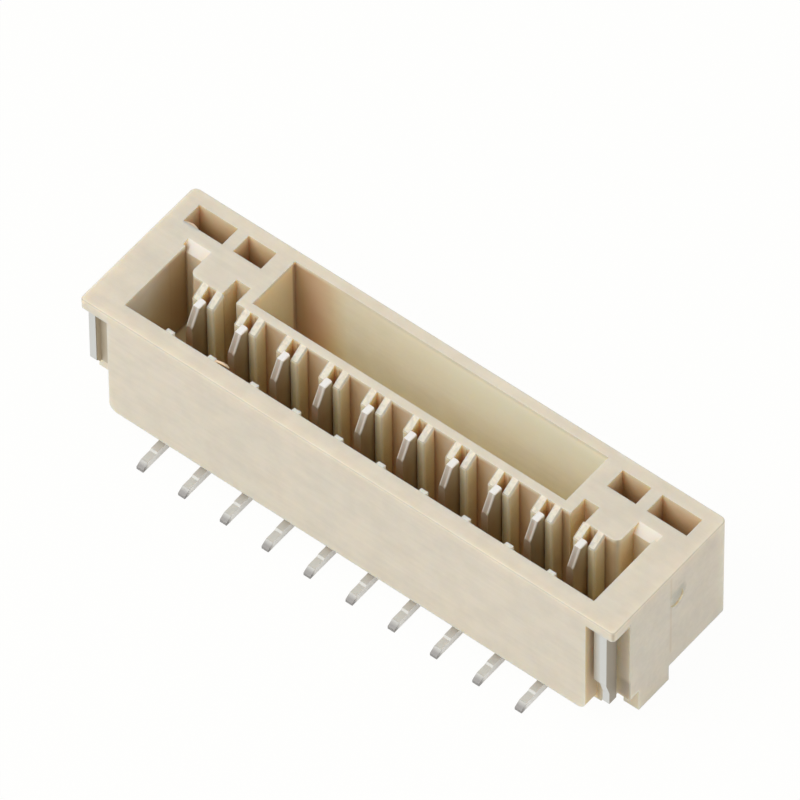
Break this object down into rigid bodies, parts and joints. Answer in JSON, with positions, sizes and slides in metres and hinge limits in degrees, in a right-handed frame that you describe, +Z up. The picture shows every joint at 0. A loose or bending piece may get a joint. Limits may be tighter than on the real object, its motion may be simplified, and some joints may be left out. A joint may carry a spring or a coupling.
{
  "type": "wafer connector",
  "caption": "Vertical surface-mount wafer connector: an open-topped beige housing with one row of flat contacts, tails along the front and a solder tab at each end.",
  "frame": {"origin": "on the circuit board's plane, under the middle of the housing", "axes": "+X along the row of contacts, -Y towards the contacts' tails, +Z up, the way the plug is pulled out"},
  "size_m": [0.0158, 0.0052, 0.0041],
  "materials": {
    "housing": "satin",
    "contact": "bright tin plate",
    "solder_tab": "satin tin plate"
  },
  "bodies": {
    "root": {"housing": "housing", "contact_01": "contact", "contact_02": "contact", "contact_03": "contact", "contact_04": "contact", "contact_05": "contact", "contact_06": "contact", "contact_07": "contact", "contact_08": "contact", "contact_09": "contact", "contact_10": "contact", "solder_tab_left": "solder_tab", "solder_tab_right": "solder_tab"}
  },
  "joints": []
}
